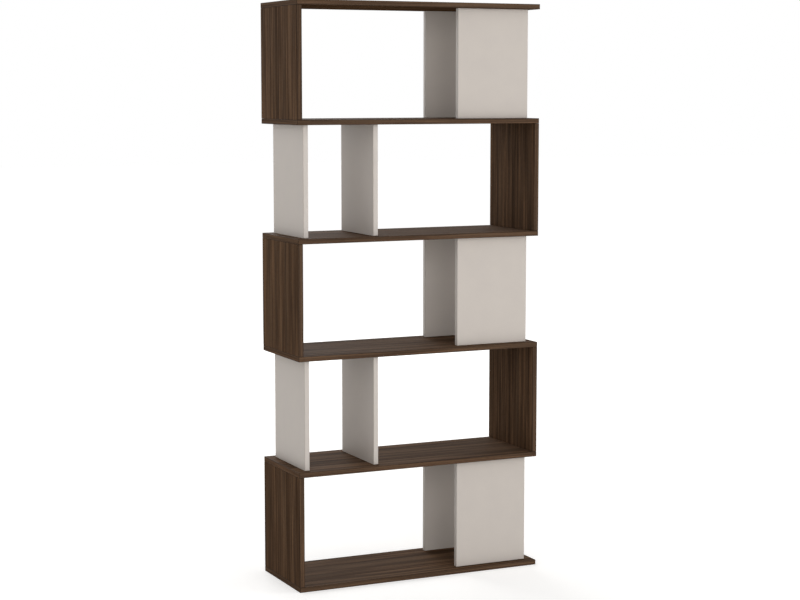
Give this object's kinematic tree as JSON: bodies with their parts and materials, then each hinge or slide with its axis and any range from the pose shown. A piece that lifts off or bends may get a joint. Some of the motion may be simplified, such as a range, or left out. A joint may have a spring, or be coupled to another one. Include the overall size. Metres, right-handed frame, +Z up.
{
  "type": "open bookcase",
  "caption": "Open zig-zag bookcase: walnut shelves on side panels at alternating ends, with light front and back panels or square dividers carrying the other ends.",
  "frame": {"origin": "middle of the footprint, on the floor", "axes": "+X to the right seen from the front, +Y to the back, +Z up"},
  "size_m": [0.785, 0.285, 1.715],
  "materials": {
    "walnut_board": "satin printed walnut melamine, edges banded to match",
    "light_board": "satin plain light grey-beige melamine, edges banded to match",
    "zinc_fitting": "die-cast zinc and plated steel"
  },
  "bodies": {
    "root": {"top_shelf": "walnut_board", "shelf_2": "walnut_board", "shelf_3": "walnut_board", "shelf_4": "walnut_board", "shelf_5": "walnut_board", "base_shelf": "walnut_board", "left_side_panel_tier_1": "walnut_board", "front_panel_tier_1": "light_board", "back_panel_tier_1": "light_board", "right_side_panel_tier_2": "walnut_board", "outer_divider_tier_2": "light_board", "inner_divider_tier_2": "light_board", "left_side_panel_tier_3": "walnut_board", "front_panel_tier_3": "light_board", "back_panel_tier_3": "light_board", "right_side_panel_tier_4": "walnut_board", "outer_divider_tier_4": "light_board", "inner_divider_tier_4": "light_board", "left_side_panel_tier_5": "walnut_board", "front_panel_tier_5": "light_board", "back_panel_tier_5": "light_board", "upper_cam_left_side_panel_tier_1": "zinc_fitting", "lower_cam_left_side_panel_tier_1": "zinc_fitting", "upper_cam_front_panel_tier_1": "zinc_fitting", "lower_cam_front_panel_tier_1": "zinc_fitting", "upper_cam_back_panel_tier_1": "zinc_fitting", "lower_cam_back_panel_tier_1": "zinc_fitting", "upper_cam_right_side_panel_tier_2": "zinc_fitting", "lower_cam_right_side_panel_tier_2": "zinc_fitting", "upper_cam_outer_divider_tier_2": "zinc_fitting", "lower_cam_outer_divider_tier_2": "zinc_fitting", "upper_cam_inner_divider_tier_2": "zinc_fitting", "lower_cam_inner_divider_tier_2": "zinc_fitting", "upper_cam_left_side_panel_tier_3": "zinc_fitting", "lower_cam_left_side_panel_tier_3": "zinc_fitting", "upper_cam_front_panel_tier_3": "zinc_fitting", "lower_cam_front_panel_tier_3": "zinc_fitting", "upper_cam_back_panel_tier_3": "zinc_fitting", "lower_cam_back_panel_tier_3": "zinc_fitting", "upper_cam_right_side_panel_tier_4": "zinc_fitting", "lower_cam_right_side_panel_tier_4": "zinc_fitting", "upper_cam_outer_divider_tier_4": "zinc_fitting", "lower_cam_outer_divider_tier_4": "zinc_fitting", "upper_cam_inner_divider_tier_4": "zinc_fitting", "lower_cam_inner_divider_tier_4": "zinc_fitting", "upper_cam_left_side_panel_tier_5": "zinc_fitting", "lower_cam_left_side_panel_tier_5": "zinc_fitting", "upper_cam_front_panel_tier_5": "zinc_fitting", "lower_cam_front_panel_tier_5": "zinc_fitting", "upper_cam_back_panel_tier_5": "zinc_fitting", "lower_cam_back_panel_tier_5": "zinc_fitting"}
  },
  "joints": []
}
